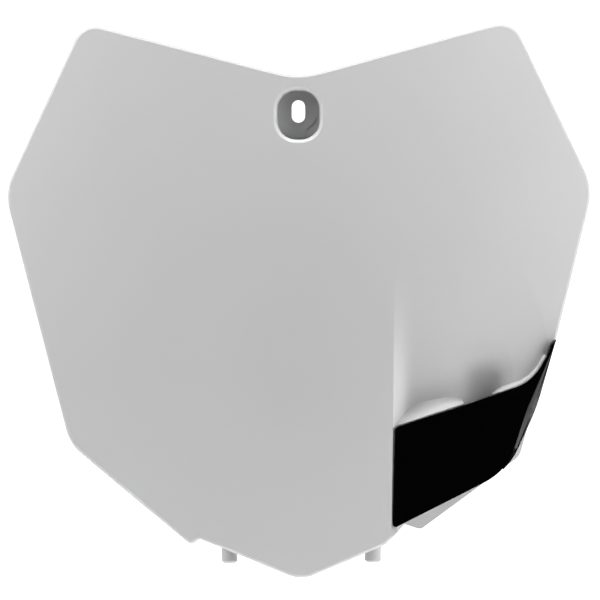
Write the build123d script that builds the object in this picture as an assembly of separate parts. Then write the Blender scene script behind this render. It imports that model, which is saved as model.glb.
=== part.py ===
from build123d import *
import math
import os

# A front number board for an off-road motorcycle: a crowned white plate with a fixing cup near the
# top, two locating pegs below, a scoop for the brake hose at its lower right, and a black cover
# screwed over the hose channel. Millimetres, +X to the viewer's right, +Z up, the face looks to -Y.
# The origin is the centre of the fixing slot, on the flat back of the cup.

# Crowned form of the plate's face
crown_radius = 374.0
bow_radius = 900.0
crown_z = -90.0
crown_y = -19.5
plate_wall = 3.0
front_edge_bevel = 1.2

# Outline of the plate, seen from the front: corners before rounding, and their radii
plate_width = 285.0
flank_round_off = 1.65
flank_z = -37.9
flank_radius = 27.0
brow_z = 15.8
brow_radius = 40.0
shoulder_x = 104.9
shoulder_z = 44.4
shoulder_radius = 11.0
heel_x = 112.5
heel_z = -161.4
heel_radius = 22.0
lobe_x = 53.5
lobe_z = -210.8
lobe_radius = 2.8
notch_x = 49.3
notch_z = -207.9
notch_radius = 0.6
tongue_x = 38.0
tongue_z = -212.4
tongue_corner_radius = 12.0
tongue_tip_z = -228.3
tongue_tip_radius = 15.5

# Outline where it differs on the hose side: the tongue's flank and the set-back wing
hose_tongue_x = 41.2
hose_tongue_z = -211.0
hose_tongue_radius = 6.0
hose_notch_x = 50.5
hose_notch_z = -201.7
hose_notch_radius = 0.8
hose_lobe_x = 58.4
hose_lobe_z = -204.4
hose_lobe_radius = 3.5
wing_corner_x = 107.3
wing_corner_z = -169.0
wing_corner_radius = 9.0
wing_top_x = 122.3
wing_top_z = -116.0

# Fixing cup with its vertical slot
cup_width = 21.4
cup_height = 24.5
cup_centre_z = -2.0
cup_corner_radius = 9.5
cup_draft = 3.0
cup_floor = 3.0
cup_wall = 2.5
cup_rim_bevel = 1.4
slot_width = 6.5
slot_height = 11.0
groove_radius = 9.6
groove_width = 0.9
groove_depth = 1.8
groove_start = -64.0
groove_sweep = 44.0
gusset_thickness = 2.5
gusset_reach = 26.0
gusset_overlap = 1.5
gusset_end_gap = 1.0

# Locating pegs and the arms that carry them
peg_radius = 4.0
peg_spacing = 70.0
peg_bottom_z = -220.0
peg_length = 14.0
peg_end_bevel = 1.0
peg_gap = 5.0
peg_arm_height = 7.0
peg_arm_width = 10.0
peg_gusset_height = 26.0

# Scoop in front of the hose channel, and the channel behind the cover
crease_x = 45.1
crease_lean = 1.0
scoop_top_z = -66.0
scoop_depth = 6.0
scoop_reference_z = -141.0
scoop_band = 6.0
scoop_right_x = 128.0
scoop_fade = 0.6
scoop_lead = 1.5
scoop_start = 0.1
scoop_side_share = 0.6
scoop_middle_share = 0.75
scoop_levels = [-56.0, -74.0, -90.0, -106.0, -122.0, -138.0, -152.0, -168.0]
channel_depth = 12.0
channel_wall_run = 4.0

# Hose cover, seen from the front
cover_wall = 2.5
cover_flare = 3.5
cover_gap = 0.4
cover_top_side_gap = 1.0
cover_top_left_z = -154.2
cover_bottom_side_gap = 0.45
cover_bottom_left_z = -203.4
cover_elbow_x = 113.1
cover_elbow_z = -132.7
cover_elbow_radius = 23.0
cover_tip_x = 125.0
cover_tip_z = -112.0
cover_top_left_radius = 2.5
cover_bottom_left_radius = 1.5
cover_knee_x = 115.2
cover_knee_z = -145.4
cover_knee_radius = 100.0
cover_heel_x = 101.1
cover_heel_z = -175.6
cover_heel_radius = 32.0
cover_side_slant = 3.2
cover_side_depth = 3.0
cover_side_wall = 2.5
cover_ledge_width = 2.8
cover_ledge_gap = 0.1

# Upturned lip of the plate along the cover's top edge
# Soft stations: share of the edge's length, crest's width, run of the slope, crest's set-back
soft_lip = [(0.01, 0.5, 8.0, 2.2), (0.15, 0.5, 8.0, 2.2), (0.24, 0.5, 7.0, 2.4),
            (0.31, 0.4, 5.0, 3.4), (0.35, 0.3, 3.5, 4.8), (0.38, 0.2, 2.0, 6.4)]
lip_foot_depth = 0.25
# Sharp stations: share of the edge's length, crest's width, run and rise of the slope, set-back
sharp_lip = [(0.54, 0.1, 0.6, 3.0, 6.0), (0.58, 0.4, 1.6, 6.5, 1.0),
             (0.64, 0.7, 2.4, 6.5, 0.8), (0.7, 0.7, 2.7, 6.5, 0.8), (0.76, 0.7, 2.7, 6.5, 0.8),
             (0.82, 0.7, 2.6, 6.5, 0.8), (0.9, 0.6, 2.2, 6.0, 0.8)]

# Dip where the hose passes from the scoop into the channel: its levels and depths, then its shape
mouth_x = 86.5
mouth_feather = 0.1
mouth_dips = [(-112.0, 0.0), (-118.0, 0.4), (-124.0, 1.6), (-131.0, 4.1), (-137.0, 6.0), (-142.0, 6.6),
              (-151.0, 5.4)]
mouth_shape = [(-22.0, 0.0), (-18.0, 0.02), (-14.0, 0.1), (-9.0, 0.42), (-4.0, 0.9), (0.0, 1.0),
               (4.0, 0.92), (8.0, 0.6), (12.0, 0.2), (15.0, 0.05), (18.0, 0.0)]

# Screws that hold the cover from behind
screw_places = [(57.5, -163.0), (60.0, -190.0), (102.0, -150.0)]
screw_radius = 1.5
screw_length = 11.0
screw_hole_gap = 0.3
screw_head_radius = 3.2
screw_head_height = 2.0
screw_head_bevel = 0.8
screw_recess_radius = 1.0
screw_recess_depth = 1.0
screw_bore_gap = 0.05
boss_radius = 3.6
pad_radius = 5.0
pad_front_rise = 1.2
pad_back_rise = 1.5

# Reach of tools and blanks beyond the part
far = 60.0
crown_reach = 150.0
crown_levels = [-250.0, -170.0, -90.0, -10.0, 70.0]


def face_y(x, z, depth=0.0):
    """Y of the crowned face, or of the surface a depth behind it, at a place seen from the front."""
    radius = crown_radius - depth
    back = crown_radius - math.sqrt(radius**2 - x**2)
    reach = bow_radius - back
    return crown_y + bow_radius - math.sqrt(reach**2 - (z - crown_z) ** 2)


def crown_arc(z, depth):
    """The level arc of the crowned form at a height, a depth behind the face."""
    return ThreePointArc(*[(x, face_y(x, z, depth)) for x in (-crown_reach, 0, crown_reach)])


def crowned_slab(front_depth, back_depth):
    """The plate's crowned form between two depths behind its face."""
    sections = []
    for z in crown_levels:
        front = crown_arc(z, front_depth)
        back = crown_arc(z, back_depth)
        outline = [front, Line(front @ 1, back @ 1), back, Line(back @ 0, front @ 0)]
        sections.append(Plane.XY.offset(z) * make_face(outline))
    return loft(sections)


def front_prism(face):
    """A face drawn in X and Z, drawn out to both sides of the part along Y."""
    return extrude(Plane.XZ * face, amount=2 * far, both=True)


def rounded_face(corners):
    """A closed face from corners, each as x, z and rounding radius."""
    points = [(x, z) for x, z, radius in corners]
    radii = [radius for x, z, radius in corners]
    return make_face(FilletPolyline(*points, radius=radii, close=True))


flank_x = plate_width / 2 + flank_round_off


def plate_outline():
    corners = [
        (0, brow_z, brow_radius),
        (-shoulder_x, shoulder_z, shoulder_radius),
        (-flank_x, flank_z, flank_radius),
        (-heel_x, heel_z, heel_radius),
        (-lobe_x, lobe_z, lobe_radius),
        (-notch_x, notch_z, notch_radius),
        (-tongue_x, tongue_z, tongue_corner_radius),
        (0, tongue_tip_z, tongue_tip_radius),
        (hose_tongue_x, hose_tongue_z, hose_tongue_radius),
        (hose_notch_x, hose_notch_z, hose_notch_radius),
        (hose_lobe_x, hose_lobe_z, hose_lobe_radius),
        (wing_corner_x, wing_corner_z, wing_corner_radius),
        (wing_top_x, wing_top_z, 0.0),
        (flank_line_x(cover_tip_z), cover_tip_z, 0.0),
        (flank_x, flank_z, flank_radius),
        (shoulder_x, shoulder_z, shoulder_radius),
    ]
    return rounded_face(corners)


def flank_line_x(z):
    """X of the plate's straight lower side at a height."""
    return flank_x + (heel_x - flank_x) * (z - flank_z) / (heel_z - flank_z)


def crease_at(z):
    """X of the scoop's left crease at a height."""
    return crease_x - math.tan(math.radians(crease_lean)) * (scoop_reference_z - z)


cover_left_x = crease_at(cover_top_left_z) + cover_top_side_gap
cover_bottom_left_x = crease_at(cover_bottom_left_z) + cover_bottom_side_gap


def scoop_depth_at(z):
    """Depth of the scoop's floor beside its left wall, growing from nothing at its top."""
    run = min((scoop_top_z - z) / (scoop_top_z - scoop_reference_z), 1.1)
    return scoop_depth * (0.12 * run + 0.88 * max(run, 0) ** 2)


def level_curve(z, places):
    """A level curve through places, each as x and depth behind the crowned face."""
    return Spline(*[(x, face_y(x, z, behind)) for x, behind in places])


def open_section(z, floor):
    """The level face between a floor's curve and the room in front of it."""
    left = (floor @ 0).X
    right = (floor @ 1).X
    outline = [
        floor,
        Line(floor @ 1, (right, -far)),
        Line((right, -far), (left, -far)),
        Line((left, -far), floor @ 0),
    ]
    return Plane.XY.offset(z) * make_face(outline)


def scoop_floor(z, grow):
    """The scoop's floor at a height, as a level curve moved back by a wall."""
    depth = scoop_depth_at(z)
    left = crease_at(z) - scoop_side_share * grow
    flat = crease_at(z) + 2.2 * scoop_band
    slope = 1.1 * depth / scoop_band
    places = [
        (left - scoop_lead, grow - scoop_lead * slope - scoop_start),
        (left + 0.5 * scoop_band, 0.55 * depth + grow),
        (left + scoop_band, 0.92 * depth + grow),
        (flat, depth + grow),
        ((flat + scoop_right_x) / 2, scoop_middle_share * depth + grow),
        (scoop_right_x, grow - scoop_fade),
    ]
    return level_curve(z, places)


def scoop_tool(grow):
    """The hollow of the scoop, or with a wall added, the form of its back."""
    return loft([open_section(z, scoop_floor(z, grow)) for z in scoop_levels])


def depth_on(floor, x, z):
    """Depth behind the crowned face of a floor's curve at a place."""
    low, high = 0.0, 1.0
    for step in range(30):
        share = (low + high) / 2
        if (floor @ share).X < x:
            low = share
        else:
            high = share
    return (floor @ low).Y - face_y(x, z)


def mouth_tool(grow):
    """The dip that leads the hose from the scoop under the cover's top edge, or its back."""
    sections = []
    for z, dip in mouth_dips:
        floor = scoop_floor(z, 0)
        places = []
        for step, share in mouth_shape:
            x = mouth_x + step
            behind = depth_on(floor, x, z) - mouth_feather + (dip + mouth_feather) * share
            places.append((x, behind + grow))
        sections.append(open_section(z, level_curve(z, places)))
    return loft(sections)


def cover_y(x, z):
    """Y of the cover's face, which leaves the plate's crowned form by a small angle."""
    return face_y(x, z) - (x - cover_left_x) * math.tan(math.radians(cover_flare))


def cover_slab(front_depth, back_depth):
    """The cover's crowned form between two depths behind its face."""
    hinge = Axis((cover_left_x, face_y(cover_left_x, cover_top_left_z), 0), (0, 0, 1))
    return crowned_slab(front_depth, back_depth).rotate(hinge, -cover_flare)


def cover_face(slant):
    """The cover's outline seen from the front, its side drawn in by a slant."""
    corners = [
        (cover_left_x, cover_top_left_z, cover_top_left_radius),
        (cover_elbow_x, cover_elbow_z, cover_elbow_radius),
        (cover_tip_x, cover_tip_z, 0),
        (cover_knee_x - slant, cover_knee_z, cover_knee_radius),
        (cover_heel_x - slant / 6, cover_heel_z, cover_heel_radius),
        (cover_bottom_left_x, cover_bottom_left_z, cover_bottom_left_radius),
    ]
    return rounded_face(corners)


def cover_hollow_face(slant):
    """The room inside the cover's side wall, open past its other edges."""
    inset = cover_side_wall
    corners = [
        (cover_tip_x - inset, cover_tip_z + far, 0),
        (cover_tip_x - inset, cover_tip_z, 0),
        (cover_knee_x - inset - slant, cover_knee_z, cover_knee_radius),
        (cover_heel_x - inset - slant / 6, cover_heel_z, 0),
        (cover_heel_x - inset - slant / 6 - 10, cover_heel_z - far, 0),
        (cover_left_x - far, cover_heel_z - far, 0),
        (cover_left_x - far, cover_tip_z + far, 0),
    ]
    return rounded_face(corners)


def slanted_prism(drawn):
    """An outline drawn straight back from the front, then slanting out to its back size."""
    start = cover_y(cover_tip_x, cover_tip_z)
    end = start + cover_side_depth
    front = Plane.XZ.offset(-start) * drawn(cover_side_slant)
    back = Plane.XZ.offset(-end) * drawn(0)
    slanted = loft([front, back], ruled=True)
    return extrude(front, far) + slanted + extrude(back, -far)


def y_cylinder(x, z, radius, start, end):
    """A round bar along Y between two places."""
    return extrude(Plane.XZ.offset(-start) * Pos(x, z) * Circle(radius), start - end)


def pillar_front(x, z):
    return face_y(x, z, channel_depth) - pad_front_rise


def pillar_back(x, z):
    return face_y(x, z, channel_depth + plate_wall) + pad_back_rise


def hose_cover():
    outside = slanted_prism(cover_face)
    room = slanted_prism(cover_hollow_face)
    skin = outside & cover_slab(0, cover_wall)
    depth_range = cover_slab(0, far) & crowned_slab(-far / 2, channel_depth)
    side = (outside & depth_range) - room
    cover = skin + side
    for x, z in screw_places:
        cover += y_cylinder(x, z, boss_radius, cover_y(x, z) + cover_wall / 2, pillar_front(x, z))
    for x, z in screw_places:
        bottom = pillar_back(x, z) - screw_length - screw_recess_depth
        cover -= y_cylinder(x, z, screw_radius + screw_bore_gap, bottom, pillar_front(x, z))
    return cover


def cover_screw(x, z):
    seat = pillar_back(x, z)
    head = y_cylinder(x, z, screw_head_radius, seat, seat + screw_head_height)
    head = chamfer(head.edges().group_by(Axis.Y)[-1], screw_head_bevel)
    shank = y_cylinder(x, z, screw_radius, seat - screw_length, seat)
    top = seat + screw_head_height
    recess_face = Plane.XZ.offset(-top) * Pos(x, z) * RegularPolygon(screw_recess_radius, 6)
    return head + shank - extrude(recess_face, screw_recess_depth)


def below_top_edge(grow):
    """What lies under the cover's top edge, out past the plate on every other side."""
    shift = Pos(-0.3 * grow, grow)
    corners = [
        (cover_left_x - far, cover_top_left_z - far * top_edge_slope, 0),
        (cover_elbow_x, cover_elbow_z, cover_elbow_radius),
        (cover_tip_x, cover_tip_z, 0),
        (cover_tip_x + far, cover_tip_z, 0),
        (cover_tip_x + far, cover_bottom_left_z - far, 0),
        (cover_left_x - far, cover_bottom_left_z - far, 0),
    ]
    return front_prism(shift * rounded_face(corners))


top_edge_slope = (cover_elbow_z - cover_top_left_z) / (cover_elbow_x - cover_left_x)


def crease_side(inset, run, top_depth, depth):
    """What lies to the right of the recess's left wall, which leans by a run between two depths."""
    lean = run / (depth - top_depth)
    sections = []
    for z in (-235.0, -200.0, -165.0, -130.0, -95.0):
        left = crease_at(z) + inset
        y = face_y(left, z, top_depth)
        corners = [
            (left - lean * far, y - far),
            (left + lean * far, y + far),
            (left + 3 * far, y + far),
            (left + 3 * far, y - far),
        ]
        sections.append(Plane.XY.offset(z) * make_face(Polyline(*corners, close=True)))
    return loft(sections)


def cover_bed(grow):
    """Room for the cover and the hose channel behind it, or with a wall added, its back."""
    under = below_top_edge(cover_gap + grow)
    ledge_depth = cover_wall + cover_ledge_gap
    channel_side = crease_side(cover_ledge_width - grow, channel_wall_run, ledge_depth, channel_depth)
    channel = crowned_slab(-far / 2, channel_depth + grow) & channel_side
    seat = crowned_slab(-far / 2, ledge_depth + grow) & crease_side(-grow, 0, 0, ledge_depth)
    return (channel + seat) & under


top_edge = FilletPolyline(
    (cover_left_x, cover_top_left_z),
    (cover_elbow_x, cover_elbow_z),
    (cover_tip_x, cover_tip_z),
    radius=[cover_elbow_radius],
)


def edge_place(share):
    """A function that gives places out from the cover's top edge at a share of its length."""
    place = top_edge @ share
    along = top_edge % share
    out = Vector(-along.Y, along.X)

    def at(n, y):
        return (place.X + n * out.X, y, place.Y + n * out.Y)

    return at


def lip_face(at, crest, slope_places):
    """A lip's section, from the places of its slope."""
    slope = Spline(*slope_places)
    foot_n, foot_y = crest
    rest = Polyline(slope @ 1, at(foot_n, foot_y), at(-3, foot_y), at(-3, (slope @ 0).Y), slope @ 0)
    return make_face([slope, rest])


def soft_section(share, crest_width, run, set_back):
    """A section of the lip that sweeps up from the scoop's floor, square to the cover's edge."""
    at = edge_place(share)
    crest = cover_gap + crest_width
    top_x, none, top_z = at(0, 0)
    foot_x, none, foot_z = at(crest + run, 0)
    top = cover_y(top_x, top_z) + set_back
    floor_x = max(foot_x, crease_at(foot_z) + scoop_band)
    depth = depth_on(scoop_floor(foot_z, 0), floor_x, foot_z)
    foot = face_y(foot_x, foot_z) + depth + lip_foot_depth
    places = [at(crest + part * run, foot - (foot - top) * (1 - part) ** 2) for part in (0, 0.35, 0.7, 1)]
    return lip_face(at, (crest + run, foot + 10), places)


def sharp_section(share, crest_width, run, rise, set_back):
    """A section of the steep lip beside the plate's edge, square to the cover's edge."""
    at = edge_place(share)
    crest = cover_gap + crest_width
    top_x, none, top_z = at(0, 0)
    top = cover_y(top_x, top_z) + set_back
    places = [at(crest, top), at(crest + 0.35 * run, top + 0.62 * rise), at(crest + run, top + rise)]
    return lip_face(at, (crest + run, top + rise + 10), places)


def lips():
    """The soft lip left of the mouth and the sharp one right of it."""
    soft = loft([soft_section(*station) for station in soft_lip])
    sharp = loft([sharp_section(*station) for station in sharp_lip], ruled=True)
    return (soft + sharp) & crowned_slab(-far / 2, channel_depth - plate_wall / 2)


def cup_plane(y):
    return Plane(origin=(0, y, cup_centre_z), x_dir=(1, 0, 0), z_dir=(0, 1, 0))


def cup_form(grow, start, end):
    """The cup's tapering form between two places along Y, grown by a wall."""
    mouth_y = face_y(0, cup_centre_z)
    squeeze = math.tan(math.radians(cup_draft)) * (start - mouth_y)
    face = RectangleRounded(
        cup_width + 2 * (grow - squeeze),
        cup_height + 2 * (grow - squeeze),
        cup_corner_radius + grow - squeeze,
    )
    return extrude(cup_plane(start) * face, end - start, taper=cup_draft)


def cup_gussets():
    """Ribs that brace the cup's wall against the plate's back."""
    half_width = cup_width / 2 + cup_wall - gusset_overlap
    half_height = cup_height / 2 + cup_wall - gusset_overlap
    inside = plate_wall / 2
    right_end = half_width + gusset_reach
    side = Polyline(
        (half_width, -gusset_end_gap),
        (half_width, face_y(half_width, cup_centre_z, inside)),
        (right_end, face_y(right_end, cup_centre_z, inside)),
        close=True,
    )
    side = extrude(Plane.XY.offset(cup_centre_z) * make_face(side), gusset_thickness / 2, both=True)
    low = cup_centre_z - half_height
    down = Polyline(
        (-gusset_end_gap, low),
        (face_y(0, low, inside), low),
        (face_y(0, low - gusset_reach, inside), low - gusset_reach),
        close=True,
    )
    down = extrude(Plane.YZ * make_face(down), gusset_thickness / 2, both=True)
    return side + mirror(side, Plane.YZ) + down


def cup_groove():
    """The thin crescent groove in the cup's floor, round the screw's washer."""
    arc = CenterArc((0, cup_centre_z), groove_radius, -groove_start, -groove_sweep)
    face = cup_plane(-cup_floor - 1) * SlotArc(arc, groove_width)
    return extrude(face, groove_depth + 1)


def on_cup_rim(edge):
    """Whether an edge of the plate is the rim of the cup on the crowned face."""
    middle = edge @ 0.5
    near = abs(middle.X) < cup_width / 2 + 1 and abs(middle.Z - cup_centre_z) < cup_height / 2 + 1
    return near and on_face(edge)


def peg(side):
    """A locating peg with the arm and rib that hold it clear of the plate's back."""
    x = side * peg_spacing / 2
    arm_z = peg_bottom_z + peg_length
    y = peg_y()
    bar = Pos(x, y, peg_bottom_z) * Cylinder(peg_radius, peg_length + peg_arm_height / 2,
                                             align=(Align.CENTER, Align.CENTER, Align.MIN))
    bar = chamfer(bar.edges().group_by(Axis.Z)[0], peg_end_bevel)
    front = face_y(x, arm_z + peg_arm_height, plate_wall / 2)
    back = y + peg_arm_width / 2
    arm = Pos(x, (front + back) / 2, arm_z + peg_arm_height / 2) * Box(
        peg_arm_width, back - front, peg_arm_height
    )
    top = arm_z + peg_arm_height
    rib = Polyline(
        (back, top),
        (front, top),
        (face_y(x, top + peg_gusset_height, plate_wall / 2), top + peg_gusset_height),
        close=True,
    )
    rib = extrude(Plane.YZ.offset(x) * make_face(rib), gusset_thickness / 2, both=True)
    return bar + arm + rib


def peg_y():
    return face_y(peg_spacing / 2, peg_bottom_z + peg_length, plate_wall) + peg_gap + peg_radius


def peg_rib():
    """The low rib across the plate's back between the two peg arms."""
    z = peg_bottom_z + peg_length + peg_arm_height
    front = face_y(0, z, plate_wall * 0.8)
    back = face_y(0, z, plate_wall) + peg_gap
    return Pos(0, (front + back) / 2, z - gusset_thickness / 2) * Box(
        peg_spacing, back - front, gusset_thickness
    )


def number_plate():
    outline = front_prism(plate_outline())
    sheet = crowned_slab(0, plate_wall) & outline
    sheet = chamfer([e for e in sheet.edges() if on_face(e)], front_edge_bevel)

    hose_side = scoop_tool(plate_wall) + cover_bed(plate_wall) + mouth_tool(plate_wall)
    reach = crowned_slab(front_edge_bevel + 0.1, channel_depth + plate_wall)
    plate = sheet + (hose_side & reach & outline)
    plate -= scoop_tool(0)
    plate -= mouth_tool(0)
    plate += lips() & outline
    plate -= cover_bed(0)

    mouth_y = face_y(0, cup_centre_z)
    plate += cup_form(cup_wall, mouth_y + plate_wall / 2, 0) + cup_gussets()
    plate -= cup_form(0, mouth_y - 5, -cup_floor)
    plate = chamfer([e for e in plate.edges() if on_cup_rim(e)], cup_rim_bevel)
    slot = Pos(0, cup_centre_z) * Rot(0, 0, 90) * SlotOverall(slot_height, slot_width)
    plate -= extrude(cup_plane(-cup_floor - 1) * slot, cup_floor + 2)
    plate -= cup_groove()
    plate += peg(-1) + peg(1) + peg_rib()
    for x, z in screw_places:
        plate += y_cylinder(x, z, pad_radius, pillar_front(x, z), pillar_back(x, z))
    for x, z in screw_places:
        radius = screw_radius + screw_hole_gap
        plate -= y_cylinder(x, z, radius, pillar_front(x, z) - 1, pillar_back(x, z) + 1)
    return plate


def on_face(edge):
    """Whether an edge lies on the plate's crowned face."""
    middle = edge @ 0.5
    return abs(middle.Y - face_y(middle.X, middle.Z)) < 0.05


os.makedirs("parts", exist_ok=True)
export_step(number_plate(), "parts/number_plate.step")
export_step(hose_cover(), "parts/hose_cover.step")
export_step(Compound([cover_screw(x, z) for x, z in screw_places]), "parts/cover_screws.step")
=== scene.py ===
import math
import bmesh
import bpy
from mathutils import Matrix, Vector


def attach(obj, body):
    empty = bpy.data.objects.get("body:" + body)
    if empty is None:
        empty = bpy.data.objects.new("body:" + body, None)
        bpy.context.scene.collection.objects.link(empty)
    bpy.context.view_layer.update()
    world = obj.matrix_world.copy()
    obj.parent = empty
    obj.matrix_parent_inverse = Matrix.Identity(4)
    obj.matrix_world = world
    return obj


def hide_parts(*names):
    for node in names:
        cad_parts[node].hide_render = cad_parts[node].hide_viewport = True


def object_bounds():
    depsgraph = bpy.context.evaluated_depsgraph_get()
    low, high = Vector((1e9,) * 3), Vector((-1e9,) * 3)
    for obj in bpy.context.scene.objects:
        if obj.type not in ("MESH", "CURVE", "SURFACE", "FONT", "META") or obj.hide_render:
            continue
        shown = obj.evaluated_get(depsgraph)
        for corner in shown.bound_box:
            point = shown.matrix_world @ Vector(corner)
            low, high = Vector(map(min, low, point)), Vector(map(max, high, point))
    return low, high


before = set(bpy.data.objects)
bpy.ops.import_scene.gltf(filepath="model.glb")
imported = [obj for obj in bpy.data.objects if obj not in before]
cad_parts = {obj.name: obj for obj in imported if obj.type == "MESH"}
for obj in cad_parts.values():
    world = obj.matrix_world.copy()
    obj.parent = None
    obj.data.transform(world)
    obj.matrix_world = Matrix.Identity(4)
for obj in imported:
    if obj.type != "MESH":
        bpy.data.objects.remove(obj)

# A front number board seen straight from the front: a white moulded plate with a black hose cover.
# Metres, in the frame of the solids: X to the right, Z up, the face looks to -Y.

CAD_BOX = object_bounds()
PHOTO_SIZE = 600

# Camera, from the board's place in the picture
CAMERA_DISTANCE = 2.5
BOARD_SIDE_Y = 0.01
BOARD_WIDTH_PX = 582.4
BOARD_CENTRE_PX = (299.6, 300.9)
BOARD_ROLL = math.radians(0.36)
SENSOR_MM = 36.0

# The cover's slanted side in the solids: its depths, the line of its edge on the face, and its width
SIDE_FRONT, SIDE_BACK = -0.00256, 0.00044
SIDE_LINE_X, SIDE_LINE_Z, SIDE_LINE_SLOPE = 0.1236, -0.114, 0.38
SIDE_TOP_Z, SIDE_KNEE_Z, SIDE_LOW_Z = -0.118, -0.147, -0.180
SIDE_WIDTH = 0.00285
# How far its two inner edges move to round it: inwards on the face, outwards and forwards behind it
FACE_EDGE_IN, FACE_SLOPE = 0.0014, 0.25
SIDE_EDGE_OUT, SIDE_EDGE_FORWARD = 0.0011, 0.0003
# From how far past the line a point is looked at, and is the face's edge or the outer skin
NEAR_LINE = -0.002
FACE_EDGE_FROM = -0.0006
SKIN_FROM = -0.0009
# Share of the side's depth in front of which a point is on the face
FACE_SHARE = -0.03
RIM_MARGIN = 2e-5
MERGE_DISTANCE = 1e-6
SHARP_ANGLE = math.radians(60)

# Finishes
WHITE = (0.74, 0.74, 0.745, 1.0)
BLACK = (0.0008, 0.0008, 0.0009, 1.0)
ZINC = (0.56, 0.56, 0.55, 1.0)
PAPER = (0.9, 0.9, 0.9, 1.0)
PAPER_GLOW = 1.3
PAPER_ROUGHNESS = 0.9

# Noise scales, in cells a metre, and the height of the grain
WHITE_FLOW, WHITE_GRAIN = 9.0, 1400.0
BLACK_FLOW, BLACK_GRAIN = 30.0, 1800.0
ZINC_CLOUD = 400.0
GRAIN_HEIGHT = 0.0002

# Backdrop
FLOOR_BELOW_BOARD = 0.06
DOME_RADIUS = 6.0

# Soft boxes: name, place, width, height and watts. Each looks at LIGHT_AIM.
LIGHT_AIM = (0, 0, -0.1)
SOFT_BOXES = [
    ("level_right", (1.49, -0.2, 0.0), 0.6, 1.8, 5.7),
    ("level_left", (-1.49, -0.2, 0.0), 0.6, 1.6, 10.0),
    ("level_top", (0.0, -0.2, 1.4), 1.6, 0.6, 21),
    ("level_low", (0.0, -0.25, -1.6), 1.6, 0.6, 15),
    ("rim_right", (1.4, 0.58, -0.6), 1.0, 1.3, 5.7),
    ("front_right", (0.85, -0.47, 0.15), 0.35, 1.4, 6.2),
    ("front_left", (-0.85, -0.47, 0.35), 0.35, 0.8, 3.4),
    ("front_low", (0.0, -0.47, -1.0), 0.9, 0.35, 2.8),
    ("back_fill", (-0.8, 1.5, 0.6), 1.5, 1.5, 28),
]
OUT_OF_GLOSS = ("front_right", "front_left", "front_low")
ROOM_LIGHT = 0.005


def add_object(name, data):
    item = bpy.data.objects.new(name, data)
    bpy.context.scene.collection.objects.link(item)
    return item


def new_material(name):
    """A new material, its node tree and its shader."""
    material = bpy.data.materials.new(name)
    material.use_nodes = True
    tree = material.node_tree
    shader = next(node for node in tree.nodes if node.type == "BSDF_PRINCIPLED")
    return material, tree, shader


def add_node(tree, kind, **inputs):
    node = tree.nodes.new(kind)
    for key, value in inputs.items():
        node.inputs[key].default_value = value
    return node


def noise_of(tree, scale, detail):
    """Noise that lies still in the object, at a number of cells a metre."""
    place = add_node(tree, "ShaderNodeTexCoord")
    noise = add_node(tree, "ShaderNodeTexNoise", Scale=scale, Detail=detail, Roughness=0.5)
    tree.links.new(place.outputs["Object"], noise.inputs["Vector"])
    return noise.outputs["Fac"]


def spread(tree, source, low, high):
    """Stretch the middle of a noise between two values."""
    ranged = add_node(tree, "ShaderNodeMapRange")
    ranged.inputs["From Min"].default_value = 0.3
    ranged.inputs["From Max"].default_value = 0.7
    ranged.inputs["To Min"].default_value = low
    ranged.inputs["To Max"].default_value = high
    tree.links.new(source, ranged.inputs["Value"])
    return ranged.outputs["Result"]


def tint(tree, shader, source, dark, light):
    """Colour between two near tones by a noise."""
    node = add_node(tree, "ShaderNodeValToRGB")
    first, last = node.color_ramp.elements
    first.position = 0.35
    first.color = dark
    last.position = 0.65
    last.color = light
    tree.links.new(source, node.inputs["Fac"])
    tree.links.new(node.outputs["Color"], shader.inputs["Base Color"])


def bump(tree, shader, source, strength):
    """Fine relief from a noise."""
    node = add_node(tree, "ShaderNodeBump", Strength=strength, Distance=GRAIN_HEIGHT)
    tree.links.new(source, node.inputs["Height"])
    tree.links.new(node.outputs["Normal"], shader.inputs["Normal"])


def shade(colour, factor):
    return tuple(channel * factor for channel in colour[:3]) + (1.0,)


def white_plastic():
    """Satin moulded plastic, with the faint flow and grain of the mould."""
    material, tree, shader = new_material("white_plastic")
    flow = noise_of(tree, WHITE_FLOW, 2.0)
    tint(tree, shader, flow, shade(WHITE, 0.985), shade(WHITE, 1.015))
    grain = noise_of(tree, WHITE_GRAIN, 3.0)
    tree.links.new(spread(tree, grain, 0.34, 0.44), shader.inputs["Roughness"])
    bump(tree, shader, grain, 0.06)
    shader.inputs["IOR"].default_value = 1.49
    shader.inputs["Specular IOR Level"].default_value = 0.45
    return material


def black_plastic():
    """Deep black moulded plastic, its sheen broken by a fine grain."""
    material, tree, shader = new_material("black_plastic")
    flow = noise_of(tree, BLACK_FLOW, 2.0)
    tint(tree, shader, flow, shade(BLACK, 0.9), shade(BLACK, 1.2))
    grain = noise_of(tree, BLACK_GRAIN, 3.0)
    tree.links.new(spread(tree, grain, 0.19, 0.25), shader.inputs["Roughness"])
    bump(tree, shader, grain, 0.03)
    shader.inputs["Specular IOR Level"].default_value = 0.45
    return material


def zinc_plate():
    """Bright zinc on small steel screws, cloudy in patches."""
    material, tree, shader = new_material("zinc_plate")
    cloud = noise_of(tree, ZINC_CLOUD, 4.0)
    tint(tree, shader, cloud, shade(ZINC, 0.85), shade(ZINC, 1.1))
    tree.links.new(spread(tree, cloud, 0.25, 0.4), shader.inputs["Roughness"])
    shader.inputs["Metallic"].default_value = 1.0
    return material


def dress(node_name, material):
    """Give a carried-over solid its finish."""
    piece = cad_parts[node_name]
    piece.data.materials.clear()
    piece.data.materials.append(material)


def side_width(z):
    """How wide the slanted side is taken to be at a height, nothing at the cover's tip and heel."""
    if z > SIDE_KNEE_Z:
        share = (SIDE_TOP_Z - z) / (SIDE_TOP_Z - SIDE_KNEE_Z)
    else:
        share = (z - SIDE_LOW_Z) / (SIDE_KNEE_Z - SIDE_LOW_Z)
    return SIDE_WIDTH * max(share, 0.0)


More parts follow.
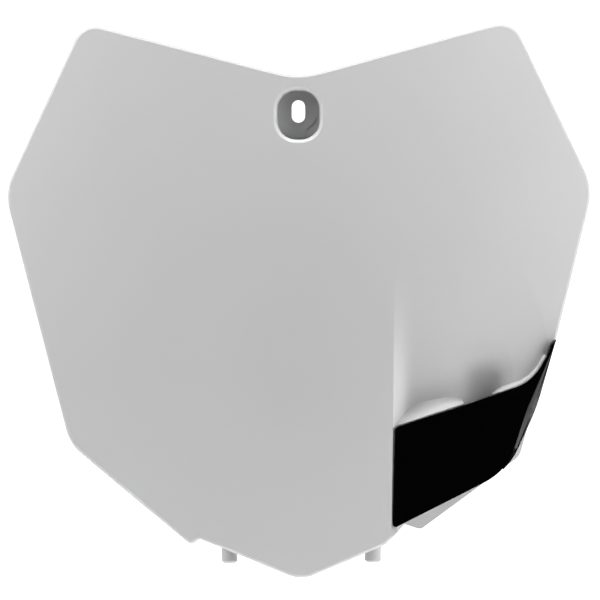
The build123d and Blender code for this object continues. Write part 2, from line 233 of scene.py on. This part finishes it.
def roll_side(mesh):
    """Move the edges of the slanted side so that it rolls round from the face."""
    outward = Vector((1, 0, -SIDE_LINE_SLOPE)).normalized()
    face_move = -outward * FACE_EDGE_IN - Vector((0, FACE_EDGE_IN * FACE_SLOPE, 0))
    side_move = outward * SIDE_EDGE_OUT - Vector((0, SIDE_EDGE_FORWARD, 0))
    for vert in mesh.verts:
        x, y, z = vert.co
        past = x - SIDE_LINE_X + SIDE_LINE_SLOPE * (SIDE_LINE_Z - z)
        width = side_width(z)
        depth_share = (y - SIDE_FRONT) / (SIDE_BACK - SIDE_FRONT)
        if width == 0 or past < NEAR_LINE:
            continue
        if depth_share < FACE_SHARE and past > FACE_EDGE_FROM:
            vert.co += face_move * (width / SIDE_WIDTH)
        elif FACE_SHARE <= depth_share < 1 and past - depth_share * width > SKIN_FROM:
            vert.co += side_move * ((1 - max(depth_share, 0)) * width / SIDE_WIDTH)


def cover_moulding(finish):
    """The cover with its side rolled round from the face, as the mould leaves it."""
    mesh = bmesh.new()
    mesh.from_mesh(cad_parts["hose_cover"].data)
    bmesh.ops.remove_doubles(mesh, verts=mesh.verts, dist=MERGE_DISTANCE)
    rim = set()
    for vert in mesh.verts:
        if abs(vert.co.y - SIDE_BACK) < RIM_MARGIN and vert.co.z < SIDE_TOP_Z:
            rim.add(vert)
    roll_side(mesh)
    for face in mesh.faces:
        face.smooth = True
    for edge in mesh.edges:
        on_rim = edge.verts[0] in rim and edge.verts[1] in rim
        edge.smooth = not on_rim and edge.is_manifold and edge.calc_face_angle() < SHARP_ANGLE
    data = bpy.data.meshes.new("cover_moulding")
    mesh.to_mesh(data)
    mesh.free()
    data.materials.append(finish)
    piece = add_object("cover_moulding", data)
    weighing = piece.modifiers.new("weighted_normals", "WEIGHTED_NORMAL")
    weighing.keep_sharp = True
    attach(piece, "root")
    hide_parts("hose_cover")


def backdrop():
    """A pale floor below the board, and a pale dome over it that closes the view on every side."""
    mesh = bmesh.new()
    bmesh.ops.create_uvsphere(mesh, u_segments=64, v_segments=32, radius=DOME_RADIUS)
    everything = mesh.verts[:] + mesh.edges[:] + mesh.faces[:]
    cut = bmesh.ops.bisect_plane(mesh, geom=everything, dist=MERGE_DISTANCE, plane_co=(0, 0, 0),
                                 plane_no=(0, 0, -1), clear_outer=True)
    rim = [item for item in cut["geom_cut"] if isinstance(item, bmesh.types.BMEdge)]
    bmesh.ops.holes_fill(mesh, edges=rim)
    bmesh.ops.recalc_face_normals(mesh, faces=mesh.faces)
    bmesh.ops.reverse_faces(mesh, faces=mesh.faces)
    bmesh.ops.translate(mesh, verts=mesh.verts, vec=(0, 0, CAD_BOX[0][2] - FLOOR_BELOW_BOARD))
    data = bpy.data.meshes.new("backdrop")
    mesh.to_mesh(data)
    mesh.free()
    shell = add_object("backdrop", data)
    material, tree, shader = new_material("backdrop_paper")
    shader.inputs["Base Color"].default_value = PAPER
    shader.inputs["Roughness"].default_value = PAPER_ROUGHNESS
    shader.inputs["Emission Color"].default_value = (1.0, 1.0, 1.0, 1.0)
    shader.inputs["Emission Strength"].default_value = PAPER_GLOW
    data.materials.append(material)
    shell.visible_diffuse = False
    shell.visible_glossy = False
    shell.visible_shadow = False


def camera():
    """Straight from the front, rolled as the photograph is, with the board where the picture has it."""
    data = bpy.data.cameras.new("camera")
    data.sensor_width = SENSOR_MM
    width = CAD_BOX[1][0] - CAD_BOX[0][0]
    board_share = BOARD_WIDTH_PX / PHOTO_SIZE
    data.lens = SENSOR_MM * board_share * (CAMERA_DISTANCE + BOARD_SIDE_Y) / width
    view = add_object("camera", data)
    metres_a_pixel = width / BOARD_WIDTH_PX
    centre_x = (CAD_BOX[0][0] + CAD_BOX[1][0]) / 2
    centre_z = (CAD_BOX[0][2] + CAD_BOX[1][2]) / 2
    x = centre_x - (BOARD_CENTRE_PX[0] - PHOTO_SIZE / 2) * metres_a_pixel
    z = centre_z + (BOARD_CENTRE_PX[1] - PHOTO_SIZE / 2) * metres_a_pixel
    view.location = (x, -CAMERA_DISTANCE, z)
    view.rotation_euler = (math.radians(90), BOARD_ROLL, 0)
    bpy.context.scene.camera = view


def soft_box(name, place, width, height, watts):
    data = bpy.data.lights.new(name, "AREA")
    data.shape = "RECTANGLE"
    data.size = width
    data.size_y = height
    data.energy = watts
    light = add_object(name, data)
    light.location = place
    aim = Vector(LIGHT_AIM) - Vector(place)
    light.rotation_euler = aim.to_track_quat("-Z", "Y").to_euler()
    light.visible_glossy = name not in OUT_OF_GLOSS


def lights():
    """Soft boxes nearly level with the board on four sides, smaller ones in front, and two behind.

    Those in front don't show in the black cover, and rim_right shows in its slanted side.
    """
    scene = bpy.context.scene
    scene.view_settings.view_transform = "Standard"
    world = bpy.data.worlds.new("studio")
    world.use_nodes = True
    background = world.node_tree.nodes["Background"]
    background.inputs["Color"].default_value = (1, 1, 1, 1)
    background.inputs["Strength"].default_value = ROOM_LIGHT
    scene.world = world
    for box in SOFT_BOXES:
        soft_box(*box)


camera()
lights()
backdrop()
dress("number_plate", white_plastic())
cover_finish = black_plastic()
dress("hose_cover", cover_finish)
cover_moulding(cover_finish)
dress("cover_screws", zinc_plate())
